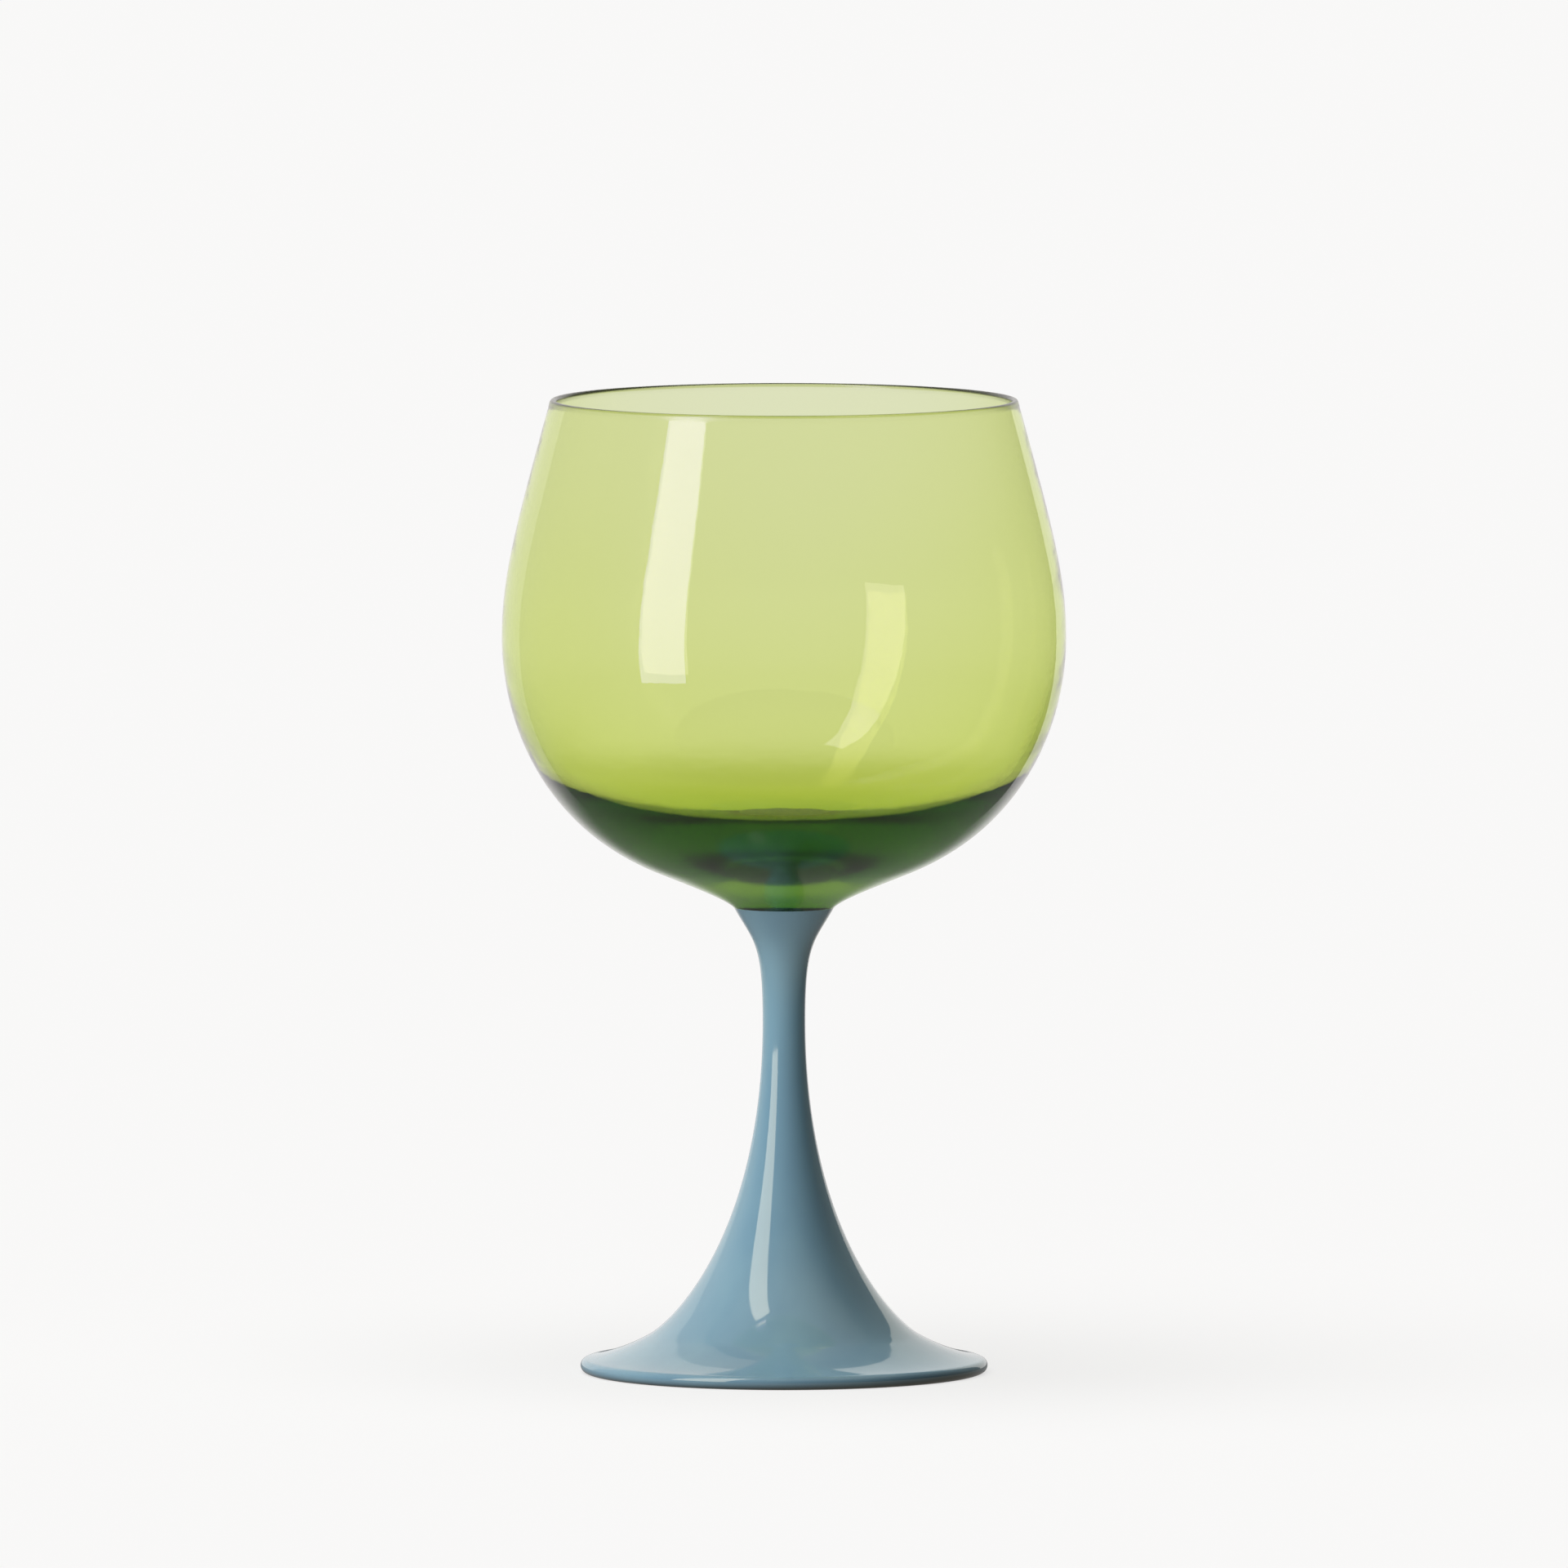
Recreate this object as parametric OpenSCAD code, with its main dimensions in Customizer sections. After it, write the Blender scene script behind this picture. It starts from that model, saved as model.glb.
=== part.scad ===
// Hand-blown goblet: a clear green bowl on an opaque blue stem and a trumpet foot.
// Every piece is a solid of revolution about Z. The foot stands on z = 0.

/* [Rim] */
// Height of the rim above the table
total_h = 185.2; // [180:0.1:192]
// Outside diameter of the rim
rim_d = 89; // [84:0.5:94]
// Thickness of the fire-polished rim, which is rounded over its full width
rim_t = 1.3; // [1:0.1:2]
// Lean of the upper wall towards the axis, in degrees
rim_lean = 15.5; // [10:0.5:20]

/* [Bowl] */
// Greatest outside diameter
belly_d = 107.2; // [102:0.2:112]
// Height of the greatest diameter
belly_z = 140; // [136:0.5:144]
// Wall thickness at the greatest diameter
belly_t = 1.8; // [1.4:0.1:2.4]
// Wall thickness where the side turns into the heavy base
heel_t = 2.4; // [2:0.1:2.8]
// Height of the lowest point of the cavity
cavity_z = 101.3; // [99.5:0.1:103]
// Diameter where the rounded side turns into the cone above the stem
cone_d = 47.8; // [44:0.2:52]
// Height of that turn
cone_z = 95.2; // [94:0.1:97]
// Rise of the cone above the horizontal, in degrees
cone_rise = 21.8; // [18:0.2:26]

/* [Stem] */
// Diameter of the face where the bowl is fused to the stem
joint_d = 19; // [17:0.2:21]
// Height of that face
joint_z = 88.5; // [87:0.5:90]
// Slope of the flare just under the bowl, in degrees from the horizontal
flare_rise = 61.3; // [55:0.5:68]
// Diameter at the waist, the thinnest part of the stem
waist_d = 8.2; // [7:0.1:9]
// Height of the waist
waist_z = 67; // [64:0.5:70]

/* [Foot] */
// Diameter of the foot
foot_d = 77.4; // [72:0.2:82]
// Height of the rounded edge of the foot
foot_edge_h = 2.6; // [2.2:0.1:3]
// Height of the face where the foot is fused to the stem
foot_joint_z = 46; // [42:0.5:50]
// Diameter where the trumpet turns into the flat brim
brim_d = 52; // [48:0.5:56]
// Height of that turn
brim_z = 6.8; // [6:0.1:7.4]
// Slope of the trumpet at that turn, in degrees from the horizontal
brim_rise = 29; // [25:0.5:33]
// Wall thickness of the blown foot
foot_t = 2.8; // [2.4:0.1:3.2]
// Inside diameter of the ring that the foot stands on
ring_inner_d = 71; // [69:0.2:73]
// Height at which the hollow under the foot begins to close
hollow_z = 34; // [28:0.5:36]
// Height of the top of that hollow
hollow_top_z = 39; // [37:0.5:40]

/* [Hidden] */
$fn = 160;
green = [0.72, 0.82, 0.36, 0.45];
blue = [0.46, 0.62, 0.73];

// Segments in each curve of an outline
steps = 14;
fine_steps = 20;
lip_steps = 8;
edge_steps = 8;

// Lengths of the handles that shape the curves, named by the place they start from
rim_handle = 25.1;
belly_handle_up = 11.3;
belly_handle_down = 14.9;
cone_handle_up = 24.8;
cone_handle_down = 7.2;
joint_handle_up = 2.2;
joint_handle_down = 7.4;
joint_rise = 46;
waist_handle_up = 15.2;
waist_handle_down = 40;
brim_handle_up = 6;
brim_handle_out = 3.5;
edge_handle = 4.5;
edge_rise = 9;
heel_handle = 11.5;
floor_handle = 28;
hollow_handle_side = 3;
hollow_handle_top = 3;

// Share of the curve from belly to cone at which the side turns into the base
heel_share = 0.5;
// How late on the way down the wall begins to thicken
heel_power = 1.2;
// Share of the brim's curve over which the hollow follows it
brim_hollow_share = 0.5;

rim_r = rim_d / 2;
belly_r = belly_d / 2;
joint_r = joint_d / 2;
waist_r = waist_d / 2;
foot_r = foot_d / 2;
lip_r = rim_t / 2;
edge_r = foot_edge_h / 2;

// Points are [radius, height]
function heading(deg) = [cos(deg), sin(deg)];
function curve_point(c, t) =
    pow(1 - t, 3) * c[0] + 3 * pow(1 - t, 2) * t * c[1] + 3 * (1 - t) * t * t * c[2] + pow(t, 3) * c[3];
function curve_slope(c, t) =
    3 * pow(1 - t, 2) * (c[1] - c[0]) + 6 * (1 - t) * t * (c[2] - c[1]) + 3 * t * t * (c[3] - c[2]);
// Points along a curve, without its first one, up to the given share of it
function along(c, n, share = 1) = [for (i = [1:n]) curve_point(c, share * i / n)];
// The point at the given depth under the outer skin, for a curve that runs down the wall
function under_skin(c, t, depth) =
    let (d = curve_slope(c, t)) curve_point(c, t) + depth * [d[1], -d[0]] / norm(d);
// A piece of a circle, without its first point
function arc(centre, r, from, to, n) =
    [for (i = [1:n]) centre + r * heading(from + (to - from) * i / n)];
function reversed(p) = [for (i = [len(p) - 1:-1:0]) p[i]];

// Curves of the outer skin, from the rim down to the foot
lip_centre = [rim_r - lip_r, total_h - lip_r];
lip_outer = lip_centre + lip_r * heading(rim_lean);
belly = [belly_r, belly_z];
cone = [cone_d / 2, cone_z];
joint = [joint_r, joint_z];
waist = [waist_r, waist_z];
brim = [brim_d / 2, brim_z];
edge_centre = [foot_r - edge_r, edge_r];
edge_top = edge_centre + edge_r * heading(90 - edge_rise);

shoulder_curve = [
    lip_outer,
    lip_outer + rim_handle * heading(rim_lean - 90),
    belly + [0, belly_handle_up],
    belly
];
side_curve = [
    belly,
    belly - [0, belly_handle_down],
    cone + cone_handle_up * heading(cone_rise),
    cone
];
cone_curve = [
    cone,
    cone - cone_handle_down * heading(cone_rise),
    joint + joint_handle_up * heading(joint_rise),
    joint
];
flare_curve = [
    joint,
    joint - joint_handle_down * heading(flare_rise),
    waist + [0, waist_handle_up],
    waist
];
trumpet_curve = [
    waist,
    waist - [0, waist_handle_down],
    brim + brim_handle_up * heading(180 - brim_rise),
    brim
];
brim_curve = [
    brim,
    brim + brim_handle_out * heading(-brim_rise),
    edge_top + edge_handle * heading(180 - edge_rise),
    edge_top
];

// The cavity follows the skin down to the heel and then closes over the base
wall_upper = [for (i = [1:steps])
    under_skin(shoulder_curve, i / steps, rim_t + (belly_t - rim_t) * i / steps)];
wall_lower = [for (i = [1:steps])
    under_skin(side_curve, heel_share * i / steps, belly_t + (heel_t - belly_t) * pow(i / steps, heel_power))];
heel = wall_lower[steps - 1];
heel_slope = heel - wall_lower[steps - 2];
floor_curve = [
    heel,
    heel + heel_handle * heel_slope / norm(heel_slope),
    [floor_handle, cavity_z],
    [0, cavity_z]
];

// Share of the trumpet curve above the face where the foot is fused on, by halving
function share_at(c, z, lo = 0, hi = 1, n = 24) =
    n == 0 ? lo
    : let (mid = (lo + hi) / 2)
      curve_point(c, mid)[1] > z ? share_at(c, z, mid, hi, n - 1) : share_at(c, z, lo, mid, n - 1);
foot_share = share_at(trumpet_curve, foot_joint_z);
foot_joint_r = curve_point(trumpet_curve, foot_share)[0];
trumpet_in_foot = [for (i = [1:fine_steps])
    curve_point(trumpet_curve, foot_share + (1 - foot_share) * i / fine_steps)];

// The hollow follows the skin of the foot up from the brim and then closes over
hollow_share = share_at(trumpet_curve, hollow_z);
hollow_wall = concat(
    [for (i = [steps:-1:1]) under_skin(brim_curve, brim_hollow_share * i / steps, foot_t)],
    [for (i = [fine_steps:-1:0])
        under_skin(trumpet_curve, hollow_share + (1 - hollow_share) * i / fine_steps, foot_t)]
);
hollow_end = hollow_wall[len(hollow_wall) - 1];
hollow_slope = curve_slope(trumpet_curve, hollow_share);
hollow_cap_curve = [
    hollow_end,
    hollow_end - hollow_handle_side * hollow_slope / norm(hollow_slope),
    [hollow_handle_top, hollow_top_z],
    [0, hollow_top_z]
];

module bowl() {
    color(green)
        rotate_extrude()
            polygon(concat(
                [[0, joint_z], joint],
                reversed(concat([belly], along(side_curve, fine_steps), along(cone_curve, steps - 1, 1 - 1 / steps))),
                reversed(concat([lip_outer], along(shoulder_curve, steps - 1, 1 - 1 / steps))),
                arc(lip_centre, lip_r, rim_lean, rim_lean + 180, lip_steps),
                wall_upper,
                wall_lower,
                along(floor_curve, fine_steps)
            ));
}

module stem() {
    color(blue)
        rotate_extrude()
            polygon(concat(
                [[0, joint_z], joint],
                along(flare_curve, steps),
                [for (i = [1:steps]) curve_point(trumpet_curve, foot_share * i / steps)],
                [[0, foot_joint_z]]
            ));
}

module foot() {
    color(blue)
        rotate_extrude()
            polygon(concat(
                [[0, foot_joint_z], [foot_joint_r, foot_joint_z]],
                trumpet_in_foot,
                along(brim_curve, steps),
                arc(edge_centre, edge_r, 90 - edge_rise, -90, edge_steps),
                [[ring_inner_d / 2, 0]],
                hollow_wall,
                along(hollow_cap_curve, edge_steps)
            ));
}

bowl();
stem();
foot();
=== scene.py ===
# Hand-blown goblet: a clear green bowl on an opaque blue stem and a hollow trumpet foot.
import math

import bmesh
import bpy
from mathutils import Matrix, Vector, noise


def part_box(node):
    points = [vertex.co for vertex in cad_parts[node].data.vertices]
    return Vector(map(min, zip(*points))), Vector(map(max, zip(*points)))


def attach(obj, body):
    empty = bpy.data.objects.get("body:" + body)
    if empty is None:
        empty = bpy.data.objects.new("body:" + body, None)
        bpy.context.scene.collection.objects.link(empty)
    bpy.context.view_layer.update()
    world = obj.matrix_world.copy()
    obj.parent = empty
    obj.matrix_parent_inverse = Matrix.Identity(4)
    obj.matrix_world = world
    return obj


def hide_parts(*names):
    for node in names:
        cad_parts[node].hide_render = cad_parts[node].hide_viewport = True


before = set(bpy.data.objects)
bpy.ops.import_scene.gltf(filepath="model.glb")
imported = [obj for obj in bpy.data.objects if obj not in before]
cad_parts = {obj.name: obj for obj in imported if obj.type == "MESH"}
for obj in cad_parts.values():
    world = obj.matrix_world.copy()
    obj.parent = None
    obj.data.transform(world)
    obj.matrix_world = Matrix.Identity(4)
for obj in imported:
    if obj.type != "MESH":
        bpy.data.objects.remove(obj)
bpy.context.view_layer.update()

MM = 0.001
SEGMENTS = 256
ON_AXIS = 1e-6


# ---------------------------------------------------------------- outlines, in millimetres, [radius, height]
def heading(deg):
    return Vector((math.cos(math.radians(deg)), math.sin(math.radians(deg))))


def curve_point(c, t):
    u = 1 - t
    return u**3 * c[0] + 3 * u * u * t * c[1] + 3 * u * t * t * c[2] + t**3 * c[3]


def curve_slope(c, t):
    u = 1 - t
    return 3 * u * u * (c[1] - c[0]) + 6 * u * t * (c[2] - c[1]) + 3 * t * t * (c[3] - c[2])


def along(c, n, start=0.0, end=1.0):
    """n points along the part of a curve between two shares of it, without the first."""
    return [curve_point(c, start + (end - start) * i / n) for i in range(1, n + 1)]


def under_skin(c, t, depth):
    """The point at that depth under the outer skin, for a curve that runs down the wall."""
    d = curve_slope(c, t).normalized()
    return curve_point(c, t) + depth * Vector((d.y, -d.x))


def arc(centre, r, a0, a1, n):
    return [centre + r * heading(a0 + (a1 - a0) * i / n) for i in range(1, n + 1)]


def share_at(c, z):
    """Share of a falling curve at which it has come down to height z."""
    lo, hi = 0.0, 1.0
    for _ in range(40):
        mid = (lo + hi) / 2
        lo, hi = (mid, hi) if curve_point(c, mid).y > z else (lo, mid)
    return lo


# The outer skin, as in the CAD model, at the heights its solids have. Angles are in degrees from the horizontal.
BOWL_LO, BOWL_HI = (v.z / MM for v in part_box("bowl"))
STEM_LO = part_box("stem")[0].z / MM
RIM_R = 44.5
RIM_T = 1.3
RIM_LEAN = 15.5
BELLY = Vector((53.6, 140.0))
BELLY_T = 1.8
CONE = Vector((23.9, 95.2))
CONE_RISE = 21.8
JOINT = Vector((9.5, BOWL_LO))
JOINT_RISE = 46
FLARE_RISE = 61.3
WAIST = Vector((4.1, 67.0))
BRIM = Vector((26.0, 6.8))
BRIM_RISE = 29
EDGE_R = 1.3
EDGE_RISE = 9
EDGE = Vector((38.7 - EDGE_R, EDGE_R))

# The inner skins: how far down the side the wall goes before it closes, and how late it thickens
HEEL_T = 2.4
HEEL_SHARE = 0.50
HEEL_POWER = 1.2
CAVITY = Vector((0, 101.3))
FOOT_T = 2.8
RING_INNER_R = 35.5
BRIM_HOLLOW_SHARE = 0.5
HOLLOW_Z = 34
HOLLOW_TOP = Vector((0, 39))

# Lengths of the handles that shape the curves, named by the place they start from
RIM_HANDLE = 25.1
BELLY_UP = 11.3
BELLY_DOWN = 14.9
CONE_UP = 24.8
CONE_DOWN = 7.2
JOINT_UP = 2.2
JOINT_DOWN = 7.4
WAIST_UP = 15.2
WAIST_DOWN = 40
BRIM_UP = 6
BRIM_OUT = 3.5
EDGE_HANDLE = 4.5
HEEL_HANDLE = 11.5
FLOOR_HANDLE = 28
HOLLOW_HANDLE = 3

# Points in each part of an outline
N_NECK = 24
N_SIDE = 90
N_WALL = 60
N_FLOOR = 90
N_LIP = 14
N_FLARE = 50
N_STEM = 40
N_TRUMPET = 70
N_BRIM = 30
N_EDGE = 16
N_HOLLOW = 50
N_CAP = 20

# How far the bowl's base reaches into the stem, so that no film of air shows in the fused joint
LAP = Vector((0.3, 0.15))

lip_r = RIM_T / 2
lip_centre = Vector((RIM_R - lip_r, BOWL_HI - lip_r))
lip_outer = lip_centre + lip_r * heading(RIM_LEAN)
edge_top = EDGE + EDGE_R * heading(90 - EDGE_RISE)

shoulder = [lip_outer, lip_outer + RIM_HANDLE * heading(RIM_LEAN - 90), BELLY + Vector((0, BELLY_UP)), BELLY]
side = [BELLY, BELLY - Vector((0, BELLY_DOWN)), CONE + CONE_UP * heading(CONE_RISE), CONE]
neck = [CONE, CONE - CONE_DOWN * heading(CONE_RISE), JOINT + JOINT_UP * heading(JOINT_RISE), JOINT]
flare = [JOINT, JOINT - JOINT_DOWN * heading(FLARE_RISE), WAIST + Vector((0, WAIST_UP)), WAIST]
trumpet = [WAIST, WAIST - Vector((0, WAIST_DOWN)), BRIM + BRIM_UP * heading(180 - BRIM_RISE), BRIM]
brim_top = [BRIM, BRIM + BRIM_OUT * heading(-BRIM_RISE), edge_top + EDGE_HANDLE * heading(180 - EDGE_RISE), edge_top]

# Faint rings that the maker's tools leave low in the bowl
RIPPLE = 0.006
RIPPLE_R = 13
RIPPLE_REACH = 9
RIPPLE_LENGTH = 5.2


def rippled(p):
    """A point of the cavity's floor, moved up or down by the rings."""
    window = math.exp(-(((p.x - RIPPLE_R) / RIPPLE_REACH) ** 2))
    return Vector((p.x, p.y + RIPPLE * window * math.cos(2 * math.pi * p.x / RIPPLE_LENGTH)))


outside = [JOINT] + [curve_point(neck, 1 - i / N_NECK) for i in range(1, N_NECK + 1)]
outside += [curve_point(side, 1 - i / N_SIDE) for i in range(1, N_SIDE + 1)]
outside += [curve_point(shoulder, 1 - i / N_WALL) for i in range(1, N_WALL + 1)]
lip = arc(lip_centre, lip_r, RIM_LEAN, RIM_LEAN + 180, N_LIP)
shares = [i / N_WALL for i in range(1, N_WALL + 1)]
inside = [under_skin(shoulder, t, RIM_T + (BELLY_T - RIM_T) * t) for t in shares]
inside += [under_skin(side, HEEL_SHARE * t, BELLY_T + (HEEL_T - BELLY_T) * t**HEEL_POWER) for t in shares]
heel = inside[-1]
heel_slope = (heel - inside[-2]).normalized()
floor_curve = [heel, heel + HEEL_HANDLE * heel_slope, Vector((FLOOR_HANDLE, CAVITY.y)), CAVITY]
inside += [rippled(p) if p.x > ON_AXIS else p for p in along(floor_curve, N_FLOOR)]
bowl_outline = [Vector((0, BOWL_LO - LAP.y)), Vector((JOINT.x - LAP.x, BOWL_LO - LAP.y))] + outside + lip + inside
inside_points = range(len(bowl_outline) - len(inside), len(bowl_outline))

foot_share = share_at(trumpet, STEM_LO)
stem_outline = [Vector((0, BOWL_LO)), JOINT] + along(flare, N_FLARE) + along(trumpet, N_STEM, 0, foot_share)
stem_outline.append(Vector((0, STEM_LO)))

hollow_share = share_at(trumpet, HOLLOW_Z)
hollow = [under_skin(brim_top, BRIM_HOLLOW_SHARE * (1 - i / N_CAP), FOOT_T) for i in range(N_CAP)]
hollow += [under_skin(trumpet, 1 - (1 - hollow_share) * i / N_HOLLOW, FOOT_T) for i in range(N_HOLLOW + 1)]
hollow_slope = curve_slope(trumpet, hollow_share).normalized()
cap = [hollow[-1], hollow[-1] - HOLLOW_HANDLE * hollow_slope, HOLLOW_TOP + Vector((HOLLOW_HANDLE, 0)), HOLLOW_TOP]
foot_outline = [Vector((0, STEM_LO)), curve_point(trumpet, foot_share)] + along(trumpet, N_TRUMPET, foot_share, 1)
foot_outline += along(brim_top, N_BRIM) + arc(EDGE, EDGE_R, 90 - EDGE_RISE, -90, N_EDGE)
foot_outline += [Vector((RING_INNER_R, 0))] + hollow + along(cap, N_CAP)


# ---------------------------------------------------------------- meshes
# Depth and length of the waves in the skins, and the height over which they grow from nothing
WAVE = 0.07
WAVE_LENGTH = 24.0
WAVE_RISE = 12
# The inner skin has waves of its own, from another place in the noise
INNER_WAVE = Vector((0, 0, 400))
SHARP = math.radians(35)


def blown(v, still, offset):
    """Pull a point towards the axis by a hair, as hand-blown glass is never quite round."""
    growth = min(1, abs(v.z - still) / WAVE_RISE)
    depth = WAVE * (0.5 + 0.5 * noise.noise((v + offset) / WAVE_LENGTH)) * growth
    radius = math.hypot(v.x, v.y)
    scale = max(0, radius - depth) / radius
    return Vector((v.x * scale, v.y * scale, v.z))


def lathe(name, outline, still, inner=()):
    """A closed solid of revolution, which is exactly round at the height called still."""
    bm = bmesh.new()
    rings = []
    for i, p in enumerate(outline):
        if p.x < ON_AXIS:
            rings.append([bm.verts.new((0, 0, p.y * MM))])
            continue
        offset = INNER_WAVE if i in inner else Vector()
        turns = [2 * math.pi * k / SEGMENTS for k in range(SEGMENTS)]
        points = [Vector((p.x * math.cos(a), p.x * math.sin(a), p.y)) for a in turns]
        rings.append([bm.verts.new(blown(v, still, offset) * MM) for v in points])
    for lower, upper in zip(rings, rings[1:]):
        for k in range(SEGMENTS):
            k2 = (k + 1) % SEGMENTS
            if len(lower) == 1:
                bm.faces.new((lower[0], upper[k2], upper[k]))
            elif len(upper) == 1:
                bm.faces.new((lower[k], lower[k2], upper[0]))
            else:
                bm.faces.new((lower[k], lower[k2], upper[k2], upper[k]))
    bmesh.ops.recalc_face_normals(bm, faces=bm.faces)
    for f in bm.faces:
        f.smooth = True
    for e in bm.edges:
        if len(e.link_faces) == 2 and e.calc_face_angle() > SHARP:
            e.smooth = False
    mesh = bpy.data.meshes.new(name)
    bm.to_mesh(mesh)
    bm.free()
    ob = bpy.data.objects.new(name, mesh)
    bpy.context.scene.collection.objects.link(ob)
    return ob


bowl = lathe("bowl_glass", bowl_outline, BOWL_LO, inside_points)
stem = lathe("stem_glass", stem_outline, BOWL_LO)
foot = lathe("foot_glass", foot_outline, BOWL_LO)
for piece, node, slot in ((bowl, "bowl", "green_glass"), (stem, "stem", "blue_glass"), (foot, "foot", "blue_glass")):
    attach(piece, "root")
    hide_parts(node)


# ---------------------------------------------------------------- materials
def new_material(name):
    mat = bpy.data.materials.new(name)
    mat.use_nodes = True
    tree = mat.node_tree
    return mat, tree, tree.nodes["Principled BSDF"], tree.nodes["Material Output"]


def object_point(tree, stretch=(1, 1, 1)):
    """The place on the piece, in metres, stretched along its axes."""
    coord = tree.nodes.new("ShaderNodeTexCoord")
    mapping = tree.nodes.new("ShaderNodeMapping")
    mapping.inputs["Scale"].default_value = stretch
    tree.links.new(coord.outputs["Object"], mapping.inputs["Vector"])
    return mapping.outputs["Vector"]


def cloud(tree, point, size, detail=2.0):
    """Soft noise with patches of that size in metres."""
    node = tree.nodes.new("ShaderNodeTexNoise")
    node.inputs["Scale"].default_value = 1 / size
    node.inputs["Detail"].default_value = detail
    tree.links.new(point, node.inputs["Vector"])
    return node.outputs["Fac"]


def bump(tree, shader, height, strength, distance):
    node = tree.nodes.new("ShaderNodeBump")
    node.inputs["Strength"].default_value = strength
    node.inputs["Distance"].default_value = distance
    tree.links.new(height, node.inputs["Height"])
    tree.links.new(node.outputs["Normal"], shader.inputs["Normal"])


def ramp(tree, value, start, end, low, high):
    node = tree.nodes.new("ShaderNodeMapRange")
    node.interpolation_type = "SMOOTHSTEP"
    for key, number in (("From Min", start), ("From Max", end), ("To Min", low), ("To Max", high)):
        node.inputs[key].default_value = number
    tree.links.new(value, node.inputs["Value"])
    return node.outputs["Result"]


def maths(tree, operation, a, b=0.0):
    node = tree.nodes.new("ShaderNodeMath")
    node.operation = operation
    for socket, value in zip(node.inputs, (a, b)):
        if isinstance(value, (int, float)):
            socket.default_value = value
        else:
            tree.links.new(value, socket)
    return node.outputs["Value"]


def vector_maths(tree, operation, a):
    node = tree.nodes.new("ShaderNodeVectorMath")
    node.operation = operation
    tree.links.new(a, node.inputs[0])
    return node.outputs["Value" if operation == "LENGTH" else "Vector"]


def height_of(tree, point):
    split = tree.nodes.new("ShaderNodeSeparateXYZ")
    tree.links.new(point, split.inputs[0])
    return split.outputs["Z"]


def blended(tree, share, colour, other):
    """The first colour where the share is 0, and the other where it is 1."""
    node = tree.nodes.new("ShaderNodeMix")
    node.data_type = "RGBA"
    node.inputs[6].default_value = (*colour, 1)
    node.inputs[7].default_value = (*other, 1)
    tree.links.new(share, node.inputs[0])
    return node.outputs[2]


# Clear green glass: absorption per millimetre in red, green and blue
DENSITY = 0.62
ABSORB = [DENSITY * a for a in (0.078, 0.044, 0.42)]
GLASS_IOR = 1.5
# Haze in the heavy base, between these heights in metres, and on the top of the lip
BASE_HAZE = 0.14
BASE_LOW = 0.103
BASE_HIGH = 0.112
LIP_HAZE = 0.2
LIP_LOW = (BOWL_HI - 1.6) * MM
LIP_HIGH = (BOWL_HI - 1.0) * MM

green, tree, shader, out = new_material("green_glass")
shader.inputs["Base Color"].default_value = (1, 1, 1, 1)
shader.inputs["Transmission Weight"].default_value = 1
shader.inputs["IOR"].default_value = GLASS_IOR
volume = tree.nodes.new("ShaderNodeVolumeAbsorption")
volume.inputs["Density"].default_value = max(ABSORB) / MM
volume.inputs["Color"].default_value = (*[1 - a / max(ABSORB) for a in ABSORB], 1)
tree.links.new(volume.outputs["Volume"], out.inputs["Volume"])
# cords that the blowing drew out around the bowl, and places that the flame polished less
cords = cloud(tree, object_point(tree, (1, 1, 2.5)), size=0.012)
bump(tree, shader, cords, strength=0.10, distance=0.0003)
polish = cloud(tree, object_point(tree), size=0.02, detail=4.0)
height = height_of(tree, object_point(tree))
base = ramp(tree, height, BASE_LOW, BASE_HIGH, BASE_HAZE, 0)
lip = ramp(tree, height, LIP_LOW, LIP_HIGH, 0, LIP_HAZE)
grain = ramp(tree, polish, start=0.45, end=0.75, low=0.0, high=0.03)
tree.links.new(maths(tree, "MAXIMUM", maths(tree, "MAXIMUM", base, lip), grain), shader.inputs["Roughness"])
bowl.data.materials.append(green)

# Opaque blue glass, a little cloudy, with a tinted shine
BLUE_DEEP = (0.19, 0.345, 0.445)
BLUE_MILKY = (0.22, 0.385, 0.475)
BLUE_IOR = 1.9
BLUE_SHINE = (1, 0.98, 0.72)

blue, tree, shader, out = new_material("blue_glass")
shader.inputs["IOR"].default_value = BLUE_IOR
shader.inputs["Specular Tint"].default_value = (*BLUE_SHINE, 1)
milk = cloud(tree, object_point(tree, (1, 1, 0.4)), size=0.014, detail=3.0)
milky = ramp(tree, milk, start=0.3, end=0.7, low=0.0, high=1.0)
tree.links.new(blended(tree, milky, BLUE_DEEP, BLUE_MILKY), shader.inputs["Base Color"])
swirl = cloud(tree, object_point(tree, (1, 1, 0.5)), size=0.009)
bump(tree, shader, swirl, strength=0.12, distance=0.0003)
polish = cloud(tree, object_point(tree), size=0.006, detail=4.0)
tree.links.new(ramp(tree, polish, start=0.3, end=0.7, low=0.045, high=0.085), shader.inputs["Roughness"])
for piece in (stem, foot):
    piece.data.materials.append(blue)


# ---------------------------------------------------------------- stage, light, camera
def collection(name, objects):
    group = bpy.data.collections.new(name)
    for ob in objects:
        group.objects.link(ob)
    return group


def rays_that_see(ob, *kinds):
    for kind in ("camera", "diffuse", "glossy", "transmission", "shadow", "volume_scatter"):
        setattr(ob, "visible_" + kind, kind in kinds)


def add_stage(name, mesh, material, *kinds):
    mesh.materials.append(material)
    ob = bpy.data.objects.new(name, mesh)
    bpy.context.scene.collection.objects.link(ob)
    rays_that_see(ob, *kinds)
    return ob


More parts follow.
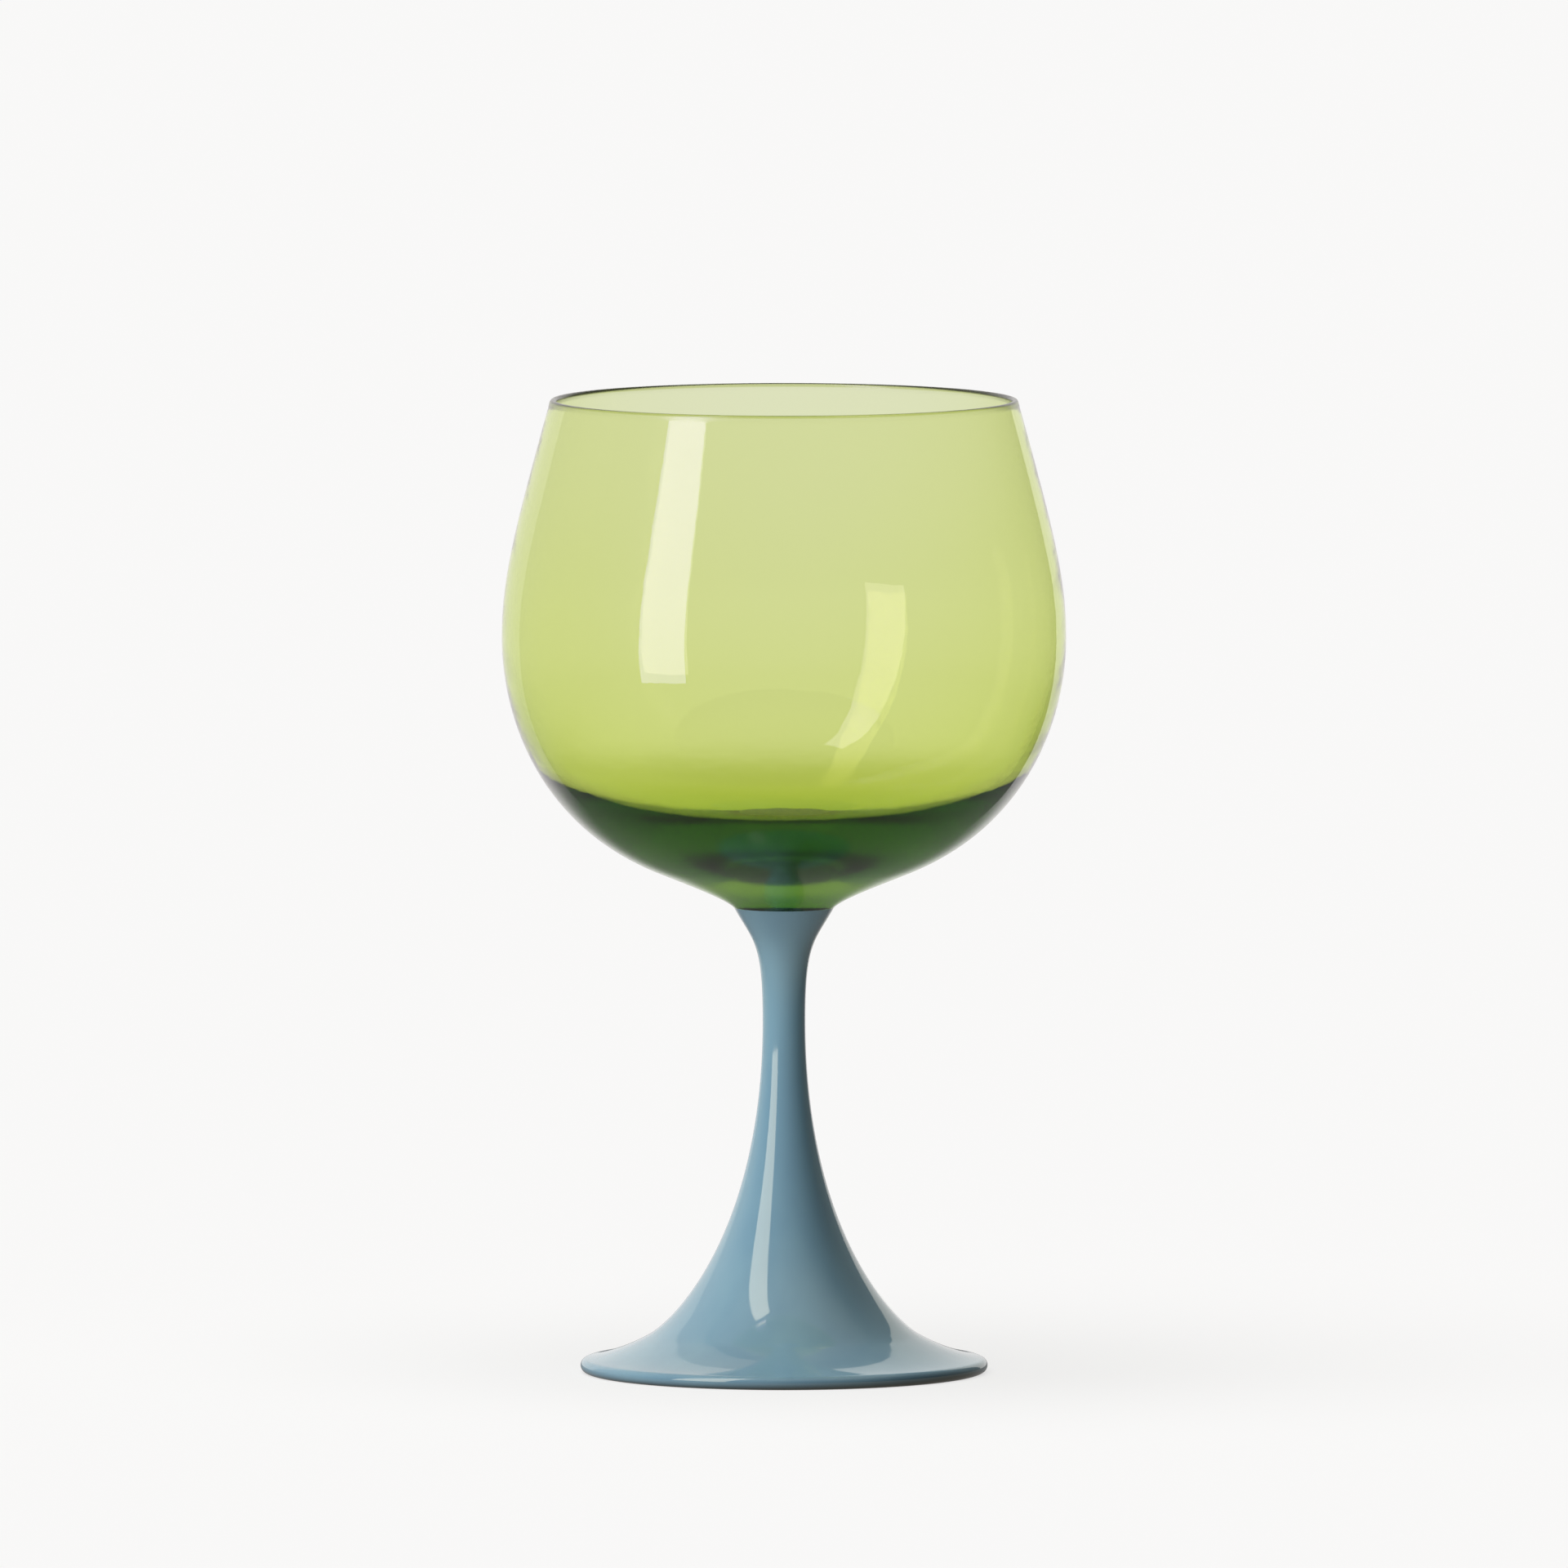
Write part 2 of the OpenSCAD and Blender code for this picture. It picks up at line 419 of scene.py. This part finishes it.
def emitter(name, colour):
    """A material that only glows, and the node whose colour and strength may be linked."""
    mat = bpy.data.materials.new(name)
    mat.use_nodes = True
    nodes = mat.node_tree.nodes
    nodes.remove(nodes["Principled BSDF"])
    glow = nodes.new("ShaderNodeEmission")
    glow.inputs["Color"].default_value = (*colour, 1)
    glow.inputs["Strength"].default_value = 1
    mat.node_tree.links.new(glow.outputs[0], nodes["Material Output"].inputs["Surface"])
    mat.cycles.emission_sampling = "NONE"
    return mat, mat.node_tree, glow


def disc(name, radius, z):
    bm = bmesh.new()
    bmesh.ops.create_circle(bm, cap_ends=True, radius=radius, segments=96)
    bmesh.ops.translate(bm, verts=bm.verts, vec=(0, 0, z))
    mesh = bpy.data.meshes.new(name)
    bm.to_mesh(mesh)
    bm.free()
    return mesh


def ball(name, radius):
    bm = bmesh.new()
    bmesh.ops.create_icosphere(bm, subdivisions=5, radius=radius)
    mesh = bpy.data.meshes.new(name)
    bm.to_mesh(mesh)
    bm.free()
    return mesh


glass_group = collection("glass", [bowl])
blue_group = collection("blue", [stem, foot])

# a pale floor: mostly its own light, so that only a faint contact shadow falls on it
BACKDROP = (0.95, 0.945, 0.94)
FLOOR_ALBEDO = 0.25
FLOOR_REACH = 12.0
floor_mat, tree, shader, out = new_material("floor")
shader.inputs["Base Color"].default_value = (FLOOR_ALBEDO, FLOOR_ALBEDO, FLOOR_ALBEDO, 1)
shader.inputs["Roughness"].default_value = 1
shader.inputs["Specular IOR Level"].default_value = 0
shader.inputs["Emission Color"].default_value = (*[c - FLOOR_ALBEDO for c in BACKDROP], 1)
shader.inputs["Emission Strength"].default_value = 1
floor_mat.cycles.emission_sampling = "NONE"
floor = add_stage("floor", disc("floor", FLOOR_REACH, 0), floor_mat, "camera")

# The tent that is seen through the glass. Below, it turns into a painted green shadow, standing for the shadow that
# the green bowl casts on the table, and it is dimmer overhead.
# Its heights are shares of its reach.
TENT = (0.79, 0.80, 0.755)
# painted shadow: the table under the bowl, darker and green from the light that passes through the glass
TENT_GREEN_SHADOW = (0.62, 0.65, 0.42)
TENT_REACH = 3.0
TENT_HIGH = -0.08
TENT_LOW = -0.26
ROOF = 0.32
ROOF_LOW = 0.7
ROOF_HIGH = 0.9
tent_mat, tree, glow = emitter("tent", TENT)
height = height_of(tree, tree.nodes.new("ShaderNodeTexCoord").outputs["Object"])
above = ramp(tree, height, TENT_REACH * TENT_LOW, TENT_REACH * TENT_HIGH, 0, 1)
# painted green shadow below the tent's low heights, the plain tent above them
tree.links.new(blended(tree, above, TENT_GREEN_SHADOW, TENT), glow.inputs["Color"])
roof = ramp(tree, height, TENT_REACH * ROOF_LOW, TENT_REACH * ROOF_HIGH, 1, ROOF)
tree.links.new(roof, glow.inputs["Strength"])
add_stage("tent", ball("tent", TENT_REACH), tent_mat, "transmission")

# What the glass mirrors: a pale backdrop behind it, dimmer wings at its sides, and darkness in front.
# The dome and the table share one pattern, so that no horizon shows in the glass.
# Directions are parts of a unit vector; distances are in metres.
REACH = 1.4
TABLE = (0.80, 0.78, 0.77)
# the backdrop
CORE = 1.15
CORE_WIDTH = 0.8
CORE_SHIFT = 0.15
CORE_TOP = 0.8
# the wings
WING_FRONT = -0.35
WING_BACK = 0.75
WING_LEFT = 0.7
WING_RIGHT = 0.2
WING_TURN = 0.1
WING_TOP = 0.78
WING_FADE = 0.02
# overhead
TOP = 0.4
TOP_IN = 0.6
TOP_OUT = 0.9
# the table, by the distance from the foot: held at one dim level close to the foot, a painted shade where the goblet
# shades the table
TABLE_SHADE = 0.35
NEAR_IN = 0.1
NEAR_OUT = 0.8
FAR_IN = 0.08
FAR_OUT = 0.40
TABLE_Z = -0.0005


def surroundings(tree, coord):
    """Brightness of the mirrored room in the direction of that point."""
    split = tree.nodes.new("ShaderNodeSeparateXYZ")
    tree.links.new(vector_maths(tree, "NORMALIZE", coord), split.inputs[0])
    x, y, z = split.outputs
    side = maths(tree, "ADD", x, maths(tree, "MULTIPLY", y, CORE_SHIFT))
    ahead = maths(tree, "LESS_THAN", maths(tree, "ABSOLUTE", side), maths(tree, "MULTIPLY", y, CORE_WIDTH))
    below = maths(tree, "LESS_THAN", z, maths(tree, "MULTIPLY", y, CORE_TOP))
    core = maths(tree, "MULTIPLY", maths(tree, "MULTIPLY", ahead, below), CORE)
    wing = ramp(tree, y, WING_FRONT, WING_BACK, 0, 1)
    wing = maths(tree, "MULTIPLY", wing, ramp(tree, x, -WING_TURN, WING_TURN, WING_LEFT, WING_RIGHT))
    wing = maths(tree, "MULTIPLY", wing, ramp(tree, z, WING_TOP, WING_TOP + WING_FADE, 1, 0))
    top = ramp(tree, z, TOP_IN, TOP_OUT, 0, TOP)
    return maths(tree, "MAXIMUM", maths(tree, "MAXIMUM", core, wing), top)


dome_mat, tree, glow = emitter("dome", TABLE)
coord = tree.nodes.new("ShaderNodeTexCoord").outputs["Object"]
tree.links.new(surroundings(tree, coord), glow.inputs["Strength"])
add_stage("dome", ball("dome", REACH), dome_mat, "glossy")

table_mat, tree, glow = emitter("table", TABLE)
coord = tree.nodes.new("ShaderNodeTexCoord").outputs["Object"]
distance = vector_maths(tree, "LENGTH", coord)
# painted shade: the mirrored table stays dim near the foot, and the mirrored room fades in further out
painted_shade = ramp(tree, distance, NEAR_IN, NEAR_OUT, TABLE_SHADE, 0)
far = maths(tree, "MULTIPLY", surroundings(tree, coord), ramp(tree, distance, FAR_IN, FAR_OUT, 0, 1))
tree.links.new(maths(tree, "MAXIMUM", painted_shade, far), glow.inputs["Strength"])
add_stage("table", disc("table", REACH, TABLE_Z), table_mat, "glossy")

world = bpy.data.worlds.new("studio")
bpy.context.scene.world = world
world.use_nodes = True
world.node_tree.nodes["Background"].inputs["Color"].default_value = (*BACKDROP, 1)
for ray in ("diffuse", "glossy", "transmission", "scatter"):
    setattr(world.cycles_visibility, ray, False)


def lit(ob, group, *kinds):
    """The lamp lights only that group's objects, and only those kinds of ray see it."""
    ob.light_linking.receiver_collection = group
    rays_that_see(ob, *kinds)


def softbox(name, place, target, width, height, radiance, group, kinds=("diffuse",), colour=(1, 1, 1)):
    """A rectangular lamp of the given radiance. It is left out of what the glass shows unless kinds says so."""
    lamp = bpy.data.lights.new(name, "AREA")
    lamp.shape = "RECTANGLE"
    lamp.size, lamp.size_y = width, height
    lamp.energy = radiance * math.pi * width * height
    lamp.color = colour
    ob = bpy.data.objects.new(name, lamp)
    bpy.context.scene.collection.objects.link(ob)
    ob.location = place
    ob.rotation_euler = (Vector(target) - Vector(place)).to_track_quat("-Z", "Y").to_euler()
    lit(ob, group, *kinds)


# The tall strip that makes the long highlights, once for the clear bowl and once for the blue pieces
KEY_X = -0.265
KEY_Y = -0.24
KEY_Z0 = 0.055
KEY_Z1 = 1.0
key_mid = (KEY_Z0 + KEY_Z1) / 2
for name, group, colour, radiance, width in (
    ("key_strip", glass_group, (0.78, 0.62, 1.35), 4.0, 0.12),
    ("key_strip_stem", blue_group, (1, 0.93, 0.95), 2.6, 0.2),
):
    softbox(
        name, (KEY_X, KEY_Y, key_mid), (0, 0, key_mid), width, KEY_Z1 - KEY_Z0, radiance, group,
        ("diffuse", "glossy", "transmission"), colour,
    )

# Soft light on the blue pieces: name, place, target, width, height, radiance
LOW = (0, 0, 0.08)
for box in (
    ("back_panel", (0, 1.0, 0.4), (0, 0, 0.4), 1.9, 0.8, 0.85),
    ("back_right", (0.7, 1.3, 0.6), LOW, 0.8, 0.8, 7.0),
    ("side_panel", (-1.0, 0.25, 0.7), (0, 0.25, 0.5), 1.5, 1.4, 1.2),
    ("fill", (-1.2, -0.5, 0.9), LOW, 0.8, 0.8, 4.0),
    ("front_fill", (-0.4, -1.5, 1.0), LOW, 1.0, 1.0, 2.6),
    ("bounce", (-0.1, -0.35, 0.001), (-0.1, -0.35, 1), 0.5, 0.5, 1.3),
):
    softbox(*box, blue_group)

# A very soft overhead light for the floor, so that the glass has a contact shadow
SUN_SPREAD = math.radians(70)
SUN_TILT = (math.radians(8), math.radians(-10), 0)
sun_data = bpy.data.lights.new("overhead", "SUN")
sun_data.angle = SUN_SPREAD
sun_data.energy = math.pi
sun = bpy.data.objects.new("overhead", sun_data)
bpy.context.scene.collection.objects.link(sun)
sun.rotation_euler = SUN_TILT
lit(sun, collection("ground", [floor]), "diffuse")

# A long lens far away, a little above the glass
DISTANCE = 8.0
ELEVATION = math.radians(4.6)
AIM_Z = 0.112
FRAME_W = 0.2976
SENSOR = 36
camera_data = bpy.data.cameras.new("camera")
camera = bpy.data.objects.new("camera", camera_data)
bpy.context.scene.collection.objects.link(camera)
camera.location = (0, -DISTANCE * math.cos(ELEVATION), AIM_Z + DISTANCE * math.sin(ELEVATION))
camera.rotation_euler = (math.pi / 2 - ELEVATION, 0, 0)
camera_data.sensor_width = SENSOR
camera_data.lens = SENSOR * DISTANCE / FRAME_W
camera_data.clip_end = 100
bpy.context.scene.camera = camera

# Light bounces many times inside the thick base
DEEP = 32
scene = bpy.context.scene
scene.view_settings.view_transform = "Standard"
scene.cycles.max_bounces = DEEP
scene.cycles.transmission_bounces = DEEP
scene.cycles.glossy_bounces = DEEP // 2
